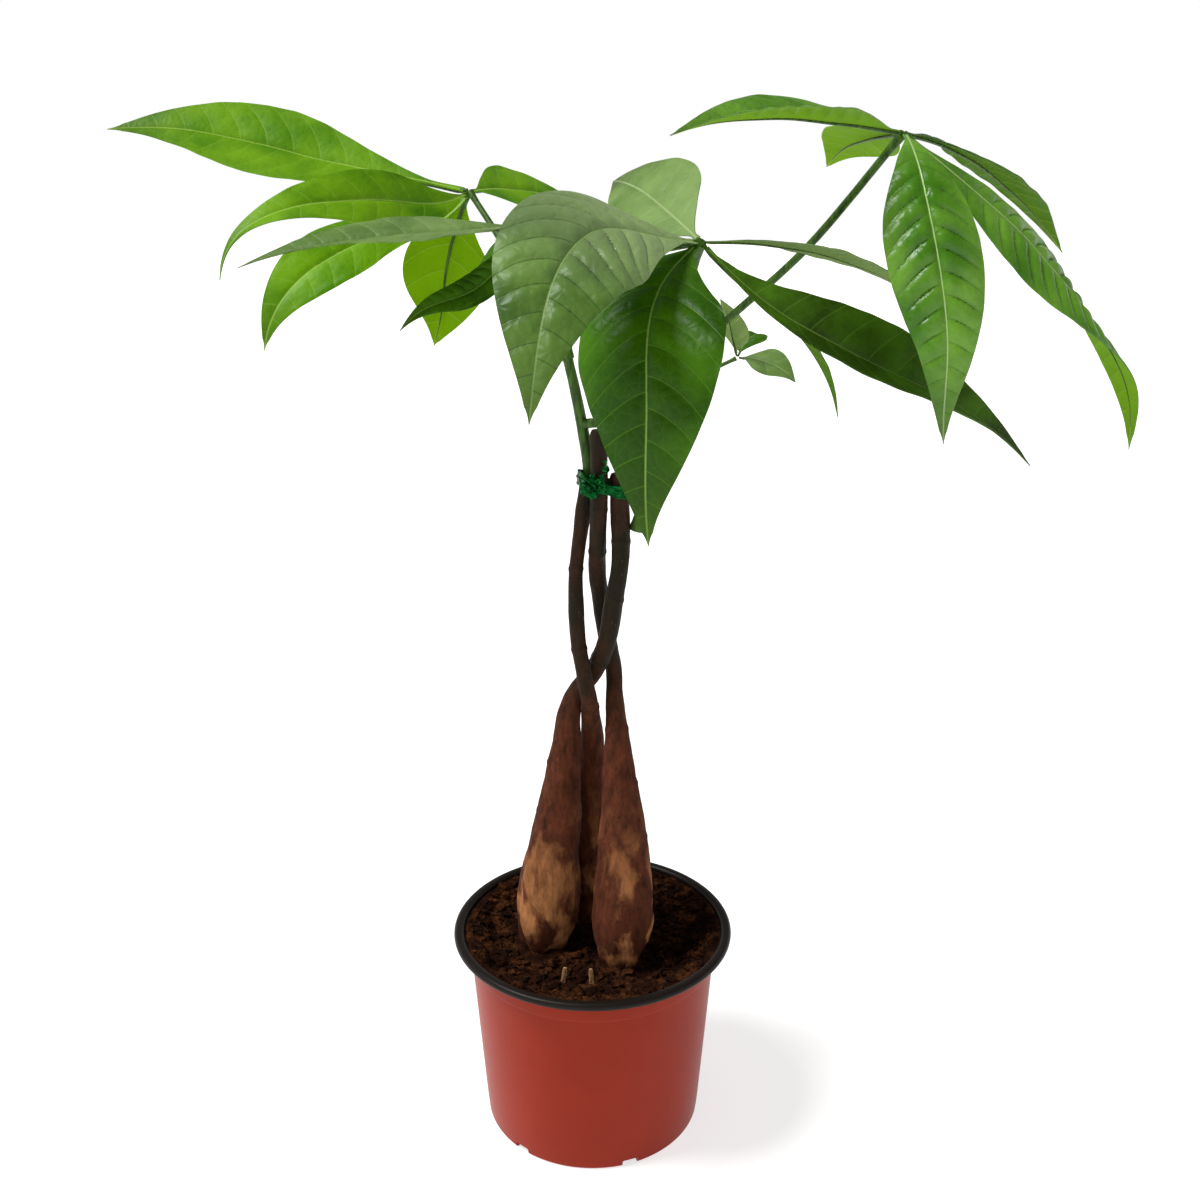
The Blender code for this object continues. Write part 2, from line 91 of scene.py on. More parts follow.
# Girth, height of the top in mm, places in braid radii at each level, and the heights in mm of
# the rings that old leaf stalks and pruning left.
TRUNKS = {
    "trunk_left": (0.99, 208, [
        (-1.5, 0), (-1.4, 0), (-1.7, 0.3), (-2, 0.7), (-1.5, 1.3), (0.1, 0.4), (1.6, -1),
        (2.3, -1.1), (2.9, -0.9), (3, -0.6), (2.9, -0.3)], (62, 84, 132, 158, 181)),
    "trunk_right": (0.93, 225, [
        (0.9, -0.9), (1.1, -0.95), (1.7, -0.7), (2.1, 0), (2.4, 0.5), (2.4, 1.3), (1.6, 1.4),
        (0.9, 1.4), (0.6, 0.9), (0.7, -0.4), (0.8, -0.8)], (56, 79, 101, 176, 194)),
    "trunk_back": (0.8, 206, [
        (-0.1, 1.5), (-0.1, 1.5), (0, 1.7), (-0.1, 0.9), (-0.3, -0.8), (-0.8, -1.6),
        (-1.5, -1.2), (-1.7, -0.5), (-1.7, 0.2), (-1.2, 0.9), (-0.3, 1.2)], (70, 110, 137, 169)),
}

# The tie.
TIE_LEVEL = 203 * MM
TIE_WIDTH = 5 * MM
TIE_THICK = 0.5 * MM
TIE_CLEARANCE = 0.7 * MM

# Shoots and stalks: what each grows on, its radii in mm, then a route in mm across and back from
# there and above the soil. FEET are across and back in radii of the stems.
FEET = {"back_top": (-0.3, 1.2), "right_top": (0.8, -0.8), "shoulder": (3.9, -0.7)}
SHOOTS = {
    "shoot_left": ("back_top", 2.5, 1.9, [
        (0.1, 0.1, 207.5), (-0.9, -1.4, 216), (-4.4, -3.9, 236), (-7.9, -4.4, 252)]),
    "shoot_right": ("shoulder", 2.7, 2.0, [
        (3.6, 0.1, 188), (5.6, -0.4, 195), (6.6, -0.9, 205), (6.1, -1.4, 241)]),
}
STALKS = {
    "front": ("right_top", 1.5, 1.3, [
        (-3.5, 1.5, 227.5), (3, -6, 230), (16, -35, 246), (26, -69, 277)]),
    "right": ("shoulder", 1.5, 1.2, [
        (7.6, -3.4, 243), (19.6, -11.4, 254), (35.6, -23.4, 270), (57.6, -45.4, 294)]),
    "young": ("shoulder", 0.9, 0.7, [(9.1, -0.4, 235), (19.6, 1.6, 242)]),
    "left": ("back_top", 1.4, 1.2, [(-9.9, -2.9, 253.5), (-15.9, 0.6, 261), (-30.9, 23.6, 288)]),
    "low": ("back_top", 1.4, 1.2, [(-7.4, -5.9, 254.5), (-8.4, -5.4, 262), (-12.9, -1.4, 280)]),
}
HUB_RADIUS = 2.4 * MM
LIMB_ROOT = 2.5 * MM  # how far a limb reaches back into what it grows on

# Leaflets: the same outline and table as the frame's, in mm and degrees.
LEAFLET_OUTLINE = [(0, 0.06), (0.05, 0.07), (0.18, 0.45), (0.34, 0.9), (0.48, 1.0),
                   (0.62, 0.86), (0.76, 0.55), (0.88, 0.25), (0.95, 0.1), (1, 0.04)]
LEAFLET_ROWS = 170
LEAFLET_COLUMNS = 36
MIDRIB_STEPS = 340
BLADE_THICK = 0.35 * MM
RIB_RADIUS = 0.75 * MM
TIP_TAPER = 22  # how sharply the last stretch of a blade runs out
TIP_POINT = 0.1
Leaflet = namedtuple("Leaflet", "width length headings slopes turns rise droop fullest",
                     defaults=[1.0])
LEAVES = {
    "front": ((33, -95, 297), [
        Leaflet(40, 112, (-138, -127, -112, -104), (4, 9, -24, -58, -70),
                (-30, -35, -25, -20), 5, 4),
        Leaflet(44, 104, (-131, -106, -88, -130), (-25, -34, -70, -90, -100), (-20, 0, 0), 4, 4,
                0.92),
        Leaflet(27, 128, (-15, -5, 10, 20), (-45, -27, -27, -42), (32, 32, 20), 24, 0),
        Leaflet(16, 97, (35, 30, 25), (0, -12, -30), (-5, -5), 8, 1),
        Leaflet(18, 83, (30, 35, 20), (-38, -35, -75), (30, 20), 14, 1),
        Leaflet(34, 84, (112, 108, 104), (20, 14, 0), (-45, -45), 6, 3),
        Leaflet(24, 85, (148, 128, 124), (-10, -10, -22), (-15, -15), 6, 3),
    ]),
    "right": ((94, -80, 328), [
        Leaflet(25, 88, (-145, -145, -150), (6, 3, -4, -18), (-10, -10), 24, 1),
        Leaflet(24, 60, (105, 100), (0, -5, -25), (20, 20), 6, 2),
        Leaflet(28, 105, (-92, -76, -56, -140), (-15, -50, -70, -84, -100), (0, 0), -4, 2),
        Leaflet(28, 137, (5, 12, 15), (-35, -36, -44, -55, -90), (50, 45, 35, 0, -50), -10, 1),
        Leaflet(26, 105, (45, 35), (-4, -21, -40), (20, 10), 8, 2),
    ]),
    "left": ((-49, 50, 312), [
        Leaflet(42, 146, (172, 179, 188), (12, 11, 14, 8, -5), (-40, -38, -35), 10, 1, 1.35),
        Leaflet(26, 121, (-135, -140, -155), (-22, 4, 0, -8, -30, -80), (-60, -55, -30, 0), 8, 1,
                0.8),
        Leaflet(26, 112, (-160, -145, -150), (-50, -10, -20, -42, -78), (-50, -50), 6, 1, 1.4),
        Leaflet(38, 66, (136, 160, 200), (-56, -70, -82, -70), (58, 58), 4, 1, 1.15),
        Leaflet(30, 74, (62, 50, 30), (5, -5, -22), (38, 35), 6, 1),
    ]),
    "low": ((-25, 10, 300), [
        Leaflet(26, 107, (-142, -165, -168, -172), (-5, -3, -8, -20), (-20, -10), 14, 1),
        Leaflet(13, 65, (-130, -155, -170), (-50, -42, -15, -50), (-40, -30), 8, 1),
        Leaflet(20, 42, (150, 150, 180), (-36, -45, -72), (-40, -40), 6, 1),
        Leaflet(24, 66, (50, 40, 30), (8, -5, -35), (0, 0), 6, 2),
    ]),
    "young": ((55, 0, 252), [
        Leaflet(18, 25, (-115, -130, -180), (60, 65, 60), (-30, -30), 8, 1),
        Leaflet(18, 26, (-40, -20, -10), (5, -20, -50), (20, 20), 8, 1),
        Leaflet(14, 26, (65, 45), (35, 15, -35), (0, 0), 8, 1),
    ]),
}

# Side veins: spacing along the midrib, and how they sweep towards the tip, in mm.
VEIN_SPACING = 10.5
VEIN_SWEEP = 0.28
VEIN_CURVE = 0.022
BLADE_MAP = (100.0, 200.0)  # mm of blade that the whole of its UV map stands for

# Leaf finishes: deep and light green of the upper side, its side veins and midrib, the underside,
# roughness and shine of the wax, how high in mm the blade bulges between side veins, their
# spacing in mm, how much the margin crinkles, and how strong the painted sheen is: a painted
# reflection that pales the half of the blade nearest the stalk.
Wax = namedtuple("Wax", "deep light vein rib under rough shine quilt spacing crinkle bloom")
WAXES = {
    # The silvered vein colour is darker than the blade: painted shade in the creases between the
    # pillows.
    "silvered": Wax("38581c", "5f8236", "20380f", "7d9a58", "6f8f3c", 0.38, 0.3, 1.7, 8.6, 0.5,
                    0.6),
    "dark": Wax("244a00", "3e6c02", "55801c", "7d9f44", "5f8a12", 0.4, 0.2, 1.0, 9.0, 0.8, 0.0),
    "bronzed": Wax("2a4404", "467010", "587a28", "6c8a34", "587f16", 0.44, 0.2, 0.5, 10.0, 0.6,
                   0.0),
    "glossy": Wax("3c7008", "6a9c2c", "42701c", "a4c478", "86b80a", 0.33, 0.5, 1.8, 6.8, 0.35, 0.0),
    "lime": Wax("4a8000", "6ea006", "80aa30", "94bc48", "8cc000", 0.45, 0.22, 0.4, 11.0, 0.5, 0.0),
    "pale": Wax("4e6e2c", "74924c", "8aa468", "98ae74", "86a05c", 0.42, 0.25, 0.6, 10.0, 0.6, 0.12),
}
FINISHES = {
    "front": ("silvered", "dark", "bronzed", "pale", "dark", "pale", "dark"),
    "right": ("glossy", "lime", "glossy", "glossy", "dark"),
    "left": ("lime", "lime", "lime", "lime", "lime"),
    "low": ("pale", "dark", "dark", "dark"),
    "young": ("pale", "pale", "dark"),
}
SLOTS = {"front": "leaf_dark", "right": "leaf_dark", "left": "leaf_lime", "low": "leaf_pale",
         "young": "leaf_dark"}


# ---------------------------------------------------------------- colours and nodes

MATH = "ShaderNodeMath"
MIX = "ShaderNodeMix"
RANGE = "ShaderNodeMapRange"
NOISE = "ShaderNodeTexNoise"
VORONOI = "ShaderNodeTexVoronoi"
BUMP = "ShaderNodeBump"
SPLIT = "ShaderNodeSeparateXYZ"
MAPPING = "ShaderNodeMapping"
PRINCIPLED = "ShaderNodeBsdfPrincipled"


def colour(code):
    """An sRGB hex code as a linear colour."""
    shares = [int(code[k:k + 2], 16) / 255 for k in (0, 2, 4)]
    return (*(s / 12.92 if s <= 0.04045 else ((s + 0.055) / 1.055) ** 2.4 for s in shares), 1)


def add(tree, kind, inputs=(), **settings):
    """Adds a node. An input is a value, a socket, or a node, whose first output is linked."""
    made = tree.nodes.new(kind)
    for name, value in settings.items():
        setattr(made, name, value)
    for name, value in dict(inputs).items():
        if isinstance(value, bpy.types.Node):
            value = next(socket for socket in value.outputs if socket.enabled)
        if isinstance(value, bpy.types.NodeSocket):
            tree.links.new(value, made.inputs[name])
        else:
            made.inputs[name].default_value = value
    return made


def new_material(name):
    """An empty material, its node tree, and the coordinates that its patterns read."""
    material = bpy.data.materials.new(name)
    material.use_nodes = True
    tree = material.node_tree
    tree.nodes.clear()
    return material, tree, add(tree, "ShaderNodeTexCoord").outputs["Object"]


def per_mm(size):
    """The scale of a texture whose features are size mm across."""
    return 1 / (size * MM)


# ---------------------------------------------------------------- leaf finishes

def vein_shares(tree):
    """How much each point is midrib and side vein, by the rule that bulges the blade."""
    spot = add(tree, SPLIT, {0: add(tree, "ShaderNodeTexCoord").outputs["UV"]})
    width, length = BLADE_MAP
    across = add(tree, MATH, {0: spot.outputs[0], 1: width, 2: -width / 2},
                 operation="MULTIPLY_ADD")
    out = add(tree, MATH, {0: across}, operation="ABSOLUTE")
    lean = add(tree, MATH, {0: out, 1: -VEIN_CURVE, 2: -VEIN_SWEEP}, operation="MULTIPLY_ADD")
    right = add(tree, MATH, {0: across, 1: 0.0}, operation="GREATER_THAN")
    start = add(tree, MATH, {0: right, 1: VEIN_SPACING / 2, 2: 20 * VEIN_SPACING},
                operation="MULTIPLY_ADD")
    along = add(tree, MATH, {0: spot.outputs[1], 1: length, 2: start}, operation="MULTIPLY_ADD")
    swept = add(tree, MATH, {0: out, 1: lean, 2: along}, operation="MULTIPLY_ADD")
    beside = add(tree, MATH, {0: swept, 1: VEIN_SPACING / 2}, operation="PINGPONG")
    side = add(tree, RANGE, {0: beside, 1: 0.05, 2: 0.42, 3: 1, 4: 0},
               interpolation_type="SMOOTHSTEP")
    rib = add(tree, RANGE, {0: out, 1: 0.15, 2: 0.55, 3: 1, 4: 0}, interpolation_type="SMOOTHSTEP")
    return rib, side


def leaf_upper(name, wax):
    """Waxy leaf cuticle: satin to glossy, mottled green, with paler veins sunk in it, except on the
    silvered finish, whose darker veins are painted shade in the creases. The midrib carries a
    painted highlight, and a painted sheen pales the blade's stalk half as a painted reflection.
    """
    material, tree, place = new_material(name)
    rib, side = vein_shares(tree)
    cloud = add(tree, NOISE, {"Vector": place, "Scale": per_mm(20), "Detail": 4.0})
    net = add(tree, VORONOI, {"Vector": place, "Scale": per_mm(3.6)}, feature="DISTANCE_TO_EDGE")
    cells = add(tree, NOISE, {"Vector": place, "Scale": per_mm(0.9), "Detail": 3.0})
    mottle = add(tree, RANGE, {0: cloud, 1: 0.36, 2: 0.64})
    green = add(tree, MIX, {0: mottle, 6: colour(wax.deep), 7: colour(wax.light)},
                data_type="RGBA")
    # Threads and side veins take the vein colour: paler than the blade on most finishes, darker on
    # the silvered one, where it is painted shade in the creases.
    threads = add(tree, RANGE, {0: net, 1: 0.0, 2: 0.06, 3: 0.13, 4: 0.0})
    green = add(tree, MIX, {0: threads, 6: green, 7: colour(wax.vein)}, data_type="RGBA")
    reach = add(tree, "ShaderNodeAttribute", attribute_name="reach")
    # Painted sheen: the half of the blade nearest the stalk is paled towards grey-green, a painted
    # reflection of the bright surroundings.
    painted_sheen_mask = add(tree, RANGE, {0: reach.outputs["Fac"], 1: 0.3, 2: 0.68, 3: wax.bloom, 4: 0.0})
    green = add(tree, MIX, {0: painted_sheen_mask, 6: green, 7: colour("a2b880")}, data_type="RGBA")
    faint = add(tree, MATH, {0: side, 1: 0.5}, operation="MULTIPLY")
    green = add(tree, MIX, {0: faint, 6: green, 7: colour(wax.vein)}, data_type="RGBA")
    # The midrib colour is the rib's own paler green, lightened further as a painted highlight along
    # the raised rib.
    green = add(tree, MIX, {0: rib, 6: green, 7: colour(wax.rib)}, data_type="RGBA")
    veins = add(tree, MATH, {0: faint, 1: rib}, operation="MAXIMUM")
    tip = add(tree, RANGE, {0: reach.outputs["Fac"], 1: 0.75, 2: 1.0, 3: 0.0, 4: 0.5})
    green = add(tree, MIX, {0: tip, 6: green, 7: colour("33420f")}, data_type="RGBA")
    puffed = add(tree, RANGE, {0: net, 1: 0.0, 2: 0.35, 3: 0.0, 4: 0.9},
                 interpolation_type="SMOOTHSTEP")
    relief = add(tree, MATH, {0: cells, 1: 0.3, 2: puffed}, operation="MULTIPLY_ADD")
    relief = add(tree, MATH, {0: veins, 1: -1.2, 2: relief}, operation="MULTIPLY_ADD")
    bump = add(tree, BUMP, {"Height": relief, "Strength": 0.12 + 0.14 * wax.quilt,
                            "Distance": 0.4 * MM})
    dull = add(tree, MATH, {0: cloud, 1: 0.2, 2: wax.rough - 0.08}, operation="MULTIPLY_ADD")
    shader = add(tree, PRINCIPLED, {"Base Color": green, "Roughness": dull, "IOR": 1.4,
                                    "Specular IOR Level": wax.shine, "Normal": bump})
    through = add(tree, "ShaderNodeBsdfTranslucent", {"Color": colour(wax.under)})
    both = add(tree, "ShaderNodeMixShader", {0: 0.06, 1: shader, 2: through})
    add(tree, "ShaderNodeOutputMaterial", {"Surface": both})
    return material


def leaf_under(name, wax):
    """Leaf underside: matte, paler and yellower, its veins standing out lighter."""
    material, tree, place = new_material(name)
    rib, side = vein_shares(tree)
    cloud = add(tree, NOISE, {"Vector": place, "Scale": per_mm(14), "Detail": 3.0})
    net = add(tree, VORONOI, {"Vector": place, "Scale": per_mm(2.4)}, feature="DISTANCE_TO_EDGE")
    green = add(tree, MIX, {0: cloud, 6: colour(wax.under), 7: colour(wax.light)},
                data_type="RGBA")
    faint = add(tree, MATH, {0: side, 1: 0.6}, operation="MULTIPLY")
    veins = add(tree, MATH, {0: faint, 1: rib}, operation="MAXIMUM")
    tint = add(tree, MATH, {0: veins, 1: 0.5}, operation="MULTIPLY")
    green = add(tree, MIX, {0: tint, 6: green, 7: colour("b4d05a")}, data_type="RGBA")
    relief = add(tree, MATH, {0: net, 1: -0.8, 2: veins}, operation="MULTIPLY_ADD")
    bump = add(tree, BUMP, {"Height": relief, "Strength": 0.6, "Distance": 0.35 * MM})
    shader = add(tree, PRINCIPLED, {"Base Color": green, "Roughness": 0.55, "IOR": 1.4,
                                    "Specular IOR Level": 0.08, "Normal": bump})
    through = add(tree, "ShaderNodeBsdfTranslucent", {"Color": colour(wax.under)})
    both = add(tree, "ShaderNodeMixShader", {0: 0.25, 1: shader, 2: through})
    add(tree, "ShaderNodeOutputMaterial", {"Surface": both})
    return material


# ---------------------------------------------------------------- other finishes

def corky_bark():
    """Young corky bark: brown, flaked to tan low down, olive and smoother on the upper stems."""
    material, tree, place = new_material("corky_bark")
    height = add(tree, SPLIT, {0: place}).outputs[2]
    drawn = add(tree, MAPPING, {0: place, 3: (1, 1, 0.4)})
    flaky = add(tree, MAPPING, {0: place, 1: (0.021, 0.033, 0.004), 3: (1, 1, 0.6)})
    patch = add(tree, NOISE, {"Vector": flaky, "Scale": per_mm(15), "Detail": 7.0,
                              "Roughness": 0.52, "Distortion": 0.3})
    streak = add(tree, NOISE, {"Vector": drawn, "Scale": per_mm(3.4), "Detail": 7.0,
                               "Roughness": 0.7})
    pores = add(tree, VORONOI, {"Vector": drawn, "Scale": per_mm(2.8)})
    shade = add(tree, RANGE, {0: streak, 1: 0.3, 2: 0.7})
    brown = add(tree, MIX, {0: shade, 6: colour("2c140a"), 7: colour("643420")},
                data_type="RGBA")
    low = add(tree, RANGE, {0: height, 1: SOIL_LEVEL + 18 * MM, 2: SOIL_LEVEL + 72 * MM,
                            3: 1.0, 4: 0.0})
    flakes = add(tree, RANGE, {0: patch, 1: 0.505, 2: 0.585})
    flaked = add(tree, MATH, {0: flakes, 1: low}, operation="MULTIPLY")
    worn = add(tree, RANGE, {0: streak, 1: 0.35, 2: 0.65, 3: 0.4, 4: 0.95})
    tan = add(tree, MATH, {0: flaked, 1: worn}, operation="MULTIPLY")
    brown = add(tree, MIX, {0: tan, 6: brown, 7: colour("b87c4c")}, data_type="RGBA")
    high = add(tree, RANGE, {0: height, 1: SOIL_LEVEL + 95 * MM, 2: SOIL_LEVEL + 130 * MM,
                             3: 0.0, 4: 0.9})
    mossy = add(tree, RANGE, {0: patch, 1: 0.42, 2: 0.56, 3: 0.75, 4: 1.0})
    olive = add(tree, MATH, {0: high, 1: mossy}, operation="MULTIPLY")
    brown = add(tree, MIX, {0: olive, 6: brown, 7: colour("12160a")}, data_type="RGBA")
    dots = add(tree, RANGE, {0: pores, 1: 0.04, 2: 0.12, 3: 0.35, 4: 0.0})
    brown = add(tree, MIX, {0: dots, 6: brown, 7: colour("6e4a37")}, data_type="RGBA")
    relief = add(tree, MATH, {0: flaked, 1: 0.35, 2: streak}, operation="MULTIPLY_ADD")
    bump = add(tree, BUMP, {"Height": relief, "Strength": 0.9, "Distance": 0.8 * MM})
    dull = add(tree, RANGE, {0: height, 1: SOIL_LEVEL + 90 * MM, 2: SOIL_LEVEL + 150 * MM,
                             3: 0.9, 4: 0.6})
    shader = add(tree, PRINCIPLED, {"Base Color": brown, "Roughness": dull,
                                    "Specular IOR Level": 0.12, "Normal": bump})
    add(tree, "ShaderNodeOutputMaterial", {"Surface": shader})
    return material


def green_stem():
    """Young green bark: smooth, faintly streaked along the stem, with a soft shine."""
    material, tree, place = new_material("young_green_stem")
    drawn = add(tree, MAPPING, {0: place, 3: (1, 1, 0.2)})
    streak = add(tree, NOISE, {"Vector": drawn, "Scale": per_mm(1.5), "Detail": 4.0})
    shade = add(tree, RANGE, {0: streak, 1: 0.3, 2: 0.7})
    green = add(tree, MIX, {0: shade, 6: colour("1c3206"), 7: colour("44681a")},
                data_type="RGBA")
    bump = add(tree, BUMP, {"Height": streak, "Strength": 0.35, "Distance": 0.2 * MM})
    shader = add(tree, PRINCIPLED, {"Base Color": green, "Roughness": 0.42,
                                    "Specular IOR Level": 0.2, "Normal": bump})
    add(tree, "ShaderNodeOutputMaterial", {"Surface": shader})
    return material


def polypropylene(name, deep, light, rough):
    """Thermoformed polypropylene: satin, faintly cloudy, with orange peel and a little dust."""
    material, tree, place = new_material(name)
    cloud = add(tree, NOISE, {"Vector": place, "Scale": per_mm(45), "Detail": 3.0})
    peel = add(tree, NOISE, {"Vector": place, "Scale": per_mm(1.1), "Detail": 2.0})
    dust = add(tree, NOISE, {"Vector": place, "Scale": per_mm(4), "Detail": 8.0,
                             "Roughness": 0.75})
    tone = add(tree, MIX, {0: cloud, 6: colour(deep), 7: colour(light)}, data_type="RGBA")
    dusty = add(tree, RANGE, {0: dust, 1: 0.6, 2: 0.8, 3: 0.0, 4: 0.2})
    tone = add(tree, MIX, {0: dusty, 6: tone, 7: colour("6b5346")}, data_type="RGBA")
    bump = add(tree, BUMP, {"Height": peel, "Strength": 0.2, "Distance": 0.15 * MM})
    dull = add(tree, MATH, {0: dust, 1: 0.14, 2: rough - 0.07}, operation="MULTIPLY_ADD")
    shader = add(tree, PRINCIPLED, {"Base Color": tone, "Roughness": dull, "IOR": 1.49,
                                    "Specular IOR Level": 0.12, "Normal": bump})
    add(tree, "ShaderNodeOutputMaterial", {"Surface": shader})
    return material


def grained(name, deep, light, size, rough, metallic=0.0, relief=0.5):
    """Two tones in grains of size mm, with relief to match: fibre, root wood and foil."""
    material, tree, place = new_material(name)
    grain = add(tree, NOISE, {"Vector": place, "Scale": per_mm(size), "Detail": 7.0,
                              "Roughness": 0.65})
    shade = add(tree, RANGE, {0: grain, 1: 0.35, 2: 0.65})
    tone = add(tree, MIX, {0: shade, 6: colour(deep), 7: colour(light)}, data_type="RGBA")
    bump = add(tree, BUMP, {"Height": grain, "Strength": relief, "Distance": size * MM / 3})
    shader = add(tree, PRINCIPLED, {"Base Color": tone, "Roughness": rough, "Metallic": metallic,
                                    "Specular IOR Level": 0.2, "Normal": bump})
    add(tree, "ShaderNodeOutputMaterial", {"Surface": shader})
    return material


def moist_peat():
    """Moist peat: nearly black, with browner, drier clumps; no shine."""
    material, tree, place = new_material("moist_peat")
    clump = add(tree, NOISE, {"Vector": place, "Scale": per_mm(9), "Detail": 4.0,
                              "Roughness": 0.6})
    grain = add(tree, NOISE, {"Vector": place, "Scale": per_mm(1.6), "Detail": 7.0,
                              "Roughness": 0.7})
    shade = add(tree, RANGE, {0: grain, 1: 0.36, 2: 0.64})
    wet = add(tree, MIX, {0: shade, 6: colour("090302"), 7: colour("2c150a")}, data_type="RGBA")
    dry = add(tree, MIX, {0: shade, 6: colour("1c0c05"), 7: colour("583219")}, data_type="RGBA")
    dried = add(tree, RANGE, {0: clump, 1: 0.48, 2: 0.62})
    brown = add(tree, MIX, {0: dried, 6: wet, 7: dry}, data_type="RGBA")
    bump = add(tree, BUMP, {"Height": grain, "Strength": 0.9, "Distance": 0.6 * MM})
    shader = add(tree, PRINCIPLED, {"Base Color": brown, "Roughness": 0.95,
                                    "Specular IOR Level": 0.05, "Normal": bump})
    add(tree, "ShaderNodeOutputMaterial", {"Surface": shader})
    return material


# ---------------------------------------------------------------- lines and curves

def evenly(fine, count):
    """count points at equal lengths along a line of close points."""
    lengths = [0.0]
    for a, b in zip(fine, fine[1:]):
        lengths.append(lengths[-1] + (b - a).length)
    path = []
    k = 0
    for i in range(count):
        wanted = lengths[-1] * i / (count - 1)
        while k < len(fine) - 2 and lengths[k + 1] < wanted:
            k += 1
        share = (wanted - lengths[k]) / max(lengths[k + 1] - lengths[k], 1e-9)
        path.append(fine[k].lerp(fine[k + 1], share))
    return path


def smooth_path(points, count):
    """count points, evenly spaced, on a smooth curve through the given ones."""
    ends = [2 * points[0] - points[1], *points, 2 * points[-1] - points[-2]]
    fine = []
    for a, b, c, d in zip(ends, ends[1:], ends[2:], ends[3:]):
        for i in range(40):
            t = i / 40
            fine.append(0.5 * (2 * b + (c - a) * t + (2 * a - 5 * b + 4 * c - d) * t**2
                               + (3 * b - a - 3 * c + d) * t**3))
    fine.append(points[-1])
    return evenly(fine, count)


def read_outline(outline, x):
    """The outline's value at x, by a smooth curve between its rows."""
    for k in range(len(outline) - 1):
        (x0, y0), (x1, y1) = outline[k], outline[k + 1]
        if x <= x1:
            break
    before = outline[k - 1] if k else (2 * x0 - x1, y0)
    after = outline[k + 2] if k + 2 < len(outline) else (2 * x1 - x0, y1)
    slope0 = (y1 - before[1]) / (x1 - before[0]) * (x1 - x0)
    slope1 = (after[1] - y0) / (after[0] - x0) * (x1 - x0)
    t = (x - x0) / (x1 - x0)
    return ((2 * t**3 - 3 * t**2 + 1) * y0 + (t**3 - 2 * t**2 + t) * slope0
            + (3 * t**2 - 2 * t**3) * y1 + (t**3 - t**2) * slope1)


def spaced(values):
    return [(k / (len(values) - 1), value) for k, value in enumerate(values)]


def above_soil(place):
    return Vector(place) * MM + Vector((0, 0, SOIL_LEVEL))


def midrib(shape, count):
    """The middle line of a leaflet from its hub, which it leaves HUB_RADIUS away."""
    headings, slopes = spaced(shape.headings), spaced(shape.slopes)
    step = (shape.length * MM - HUB_RADIUS) / MIDRIB_STEPS
    place = Vector()
    fine = []
    for k in range(MIDRIB_STEPS + 1):
        share = k / MIDRIB_STEPS
        heading = math.radians(read_outline(headings, share))
        slope = math.radians(read_outline(slopes, share))
        line = Vector((math.cos(slope) * math.cos(heading), math.cos(slope) * math.sin(heading),
                       math.sin(slope)))
        place = place + line * (step if k else HUB_RADIUS)
        fine.append(place)
    return evenly(fine, count)


def line_at(path, k):
    last = len(path) - 1
    return (path[min(k + 1, last)] - path[max(k - 1, 0)]).normalized()


def carried(path, side):
    """Across and up at each point of a path, carried along it without turning about it."""
    frames = []
    for k in range(len(path)):
        line = line_at(path, k)
        side = (side - line * side.dot(line)).normalized()
        frames.append((side, side.cross(line)))
    return frames


# ---------------------------------------------------------------- meshes

def mesh_object(bm, name, materials):
    mesh = bpy.data.meshes.new(name)
    bm.to_mesh(mesh)
    bm.free()
    mesh.shade_smooth()
    mesh.set_sharp_from_angle(angle=math.radians(42))
    for material in materials:
        mesh.materials.append(material)
    thing = bpy.data.objects.new(name, mesh)
    bpy.context.scene.collection.objects.link(thing)
    return thing


def place_piece(thing, slot, *nodes):
    """Rides the plant and stands for frame nodes; slot, the finish slot, is not used."""
    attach(thing, "root")
    if nodes:
        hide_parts(*nodes)
    return thing


def add_tube(bm, path, radius_at, around, side=None, material=0):
    """A closed limb along a path. radius_at gives a radius at a share of the path and an angle."""
    rows = len(path) - 1
    frames = carried(path, side or line_at(path, 0).orthogonal())
    made = bmesh.ops.create_grid(bm, x_segments=around, y_segments=rows, size=1)["verts"]
    for vert in made:
        k = round((vert.co.y + 1) / 2 * rows)
        angle = (vert.co.x + 1) * math.pi
        across, up = frames[k]
        out = across * math.cos(angle) + up * math.sin(angle)
        vert.co = path[k] + out * radius_at(k / rows, angle)
    faces = {face for vert in made for face in vert.link_faces}
    for face in faces:
        face.material_index = material
    bmesh.ops.remove_doubles(bm, verts=made, dist=MERGE)
    edges = [edge for edge in bm.edges if edge.is_boundary]
    for cap in bmesh.ops.holes_fill(bm, edges=edges, sides=0)["faces"]:
        cap.material_index = material
    return made


def route_from(foot, route):
    """A limb's points, from inside what it grows on."""
    across, back = FEET[foot]
    shift = Vector((across, back, 0)) * STEM_RADIUS
    points = [above_soil(place) + shift for place in route]
    return [points[0] + (points[0] - points[1]).normalized() * LIMB_ROOT, *points]


def limb(name, radius_base, radius_tip, points, rows, swell, materials):
    """A shoot or stalk: it tapers, swells at both ends, and has a slight unevenness."""
    bm = bmesh.new()
    path = smooth_path(points, rows)

    def radius_at(share, angle):
        ends = swell * (math.exp(-(share / 0.05) ** 2) + math.exp(-((1 - share) / 0.04) ** 2))
        uneven = 0.03 * noise.noise(Vector((share * 25, math.cos(angle), math.sin(angle))))
        return (radius_base + (radius_tip - radius_base) * share) * MM * (1 + ends + uneven)

    add_tube(bm, path, radius_at, 20)
    bmesh.ops.recalc_face_normals(bm, faces=bm.faces)
    return mesh_object(bm, name, materials)


# ---------------------------------------------------------------- leaflets

def vein_phase(along, across):
    """Counts side veins along a half of the blade: whole numbers lie on a vein."""
    out = abs(across)
    return (along - out * (VEIN_SWEEP + VEIN_CURVE * out)) / VEIN_SPACING + 0.5 * (across > 0)


